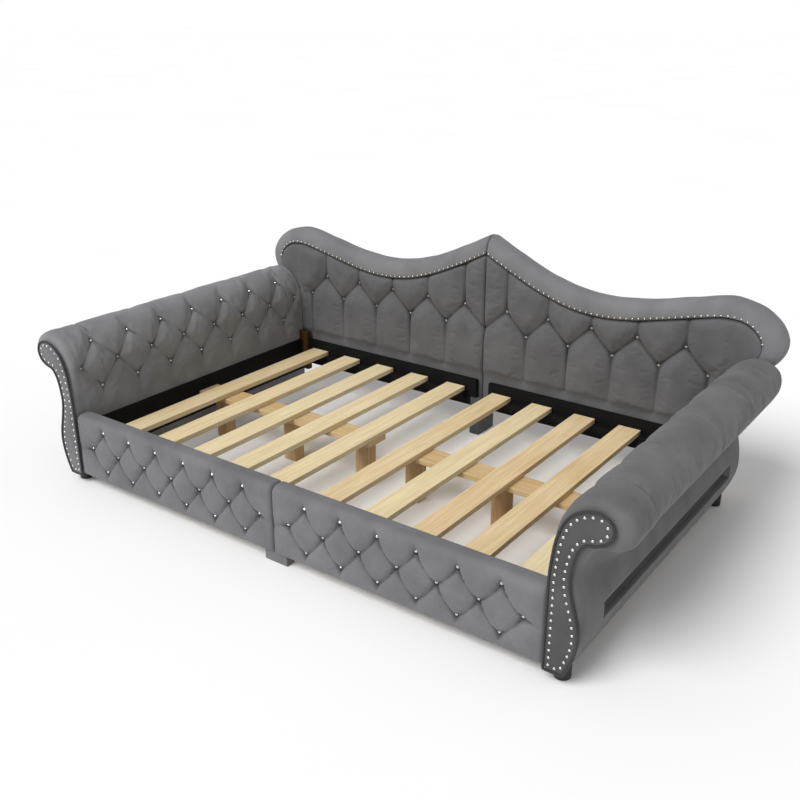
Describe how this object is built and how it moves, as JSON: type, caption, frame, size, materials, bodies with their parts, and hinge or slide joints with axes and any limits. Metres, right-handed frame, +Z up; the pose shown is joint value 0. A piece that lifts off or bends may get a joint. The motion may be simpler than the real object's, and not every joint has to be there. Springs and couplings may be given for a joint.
{
  "type": "daybed",
  "caption": "Upholstered daybed with a camel back, scroll arms, tufted padding, nailed edges and a slatted base for a single wide mattress.",
  "frame": {"origin": "on the floor, in the middle of the bed's width and depth", "axes": "+X along the back, to the right as seen from the open front; +Y from the open front to the back panel; +Z up"},
  "size_m": [2.4164, 1.428, 0.868],
  "materials": {
    "grey_upholstery": "matte woven chenille",
    "welt_cord": "matte woven cord",
    "dust_cover": "matte non-woven",
    "polished_nails": "polished",
    "crystal_buttons": "faceted, foil-backed",
    "pine_slats": "planed, unfinished",
    "pine_supports": "planed, unfinished",
    "pine_posts": "planed, unfinished",
    "frame_wood": "sawn",
    "black_board": "matt black painted board",
    "black_plastic": "moulded",
    "black_steel": "black oxide"
  },
  "bodies": {
    "root": {"arm_buttons_left": "crystal_buttons", "arm_buttons_right": "crystal_buttons", "arm_fascia_left": "grey_upholstery", "arm_fascia_right": "grey_upholstery", "arm_frame_left": "frame_wood", "arm_frame_right": "frame_wood", "arm_nailheads_left": "polished_nails", "arm_nailheads_right": "polished_nails", "arm_pad_left": "grey_upholstery", "arm_pad_right": "grey_upholstery", "arm_welt_left": "welt_cord", "arm_welt_right": "welt_cord", "back_buttons_left": "crystal_buttons", "back_buttons_right": "crystal_buttons", "back_cover_left": "dust_cover", "back_cover_right": "dust_cover", "back_frame_left": "frame_wood", "back_frame_right": "frame_wood", "back_nailheads_left": "polished_nails", "back_nailheads_right": "polished_nails", "back_pad_left": "grey_upholstery", "back_pad_right": "grey_upholstery", "back_rim_left": "grey_upholstery", "back_rim_right": "grey_upholstery", "centre_support_left": "pine_supports", "centre_support_right": "pine_supports", "corner_brackets": "black_steel", "corner_post_left": "pine_posts", "corner_post_right": "pine_posts", "frame_bolts": "black_steel", "front_centre_leg": "grey_upholstery", "front_rail_board_left": "frame_wood", "front_rail_board_right": "frame_wood", "front_rail_buttons_left": "crystal_buttons", "front_rail_buttons_right": "crystal_buttons", "front_rail_pad_left": "grey_upholstery", "front_rail_pad_right": "grey_upholstery", "front_slat_ledge_left": "black_board", "front_slat_ledge_right": "black_board", "glide_feet": "black_plastic", "rear_centre_leg": "black_board", "rear_rail_left": "black_board", "rear_rail_right": "black_board", "rear_slat_ledge_left": "black_board", "rear_slat_ledge_right": "black_board", "side_board_left": "black_board", "side_board_right": "black_board", "slat_01": "pine_slats", "slat_02": "pine_slats", "slat_03": "pine_slats", "slat_04": "pine_slats", "slat_05": "pine_slats", "slat_06": "pine_slats", "slat_07": "pine_slats", "slat_08": "pine_slats", "slat_09": "pine_slats", "slat_10": "pine_slats", "support_legs_left": "pine_supports", "support_legs_right": "pine_supports"}
  },
  "joints": []
}
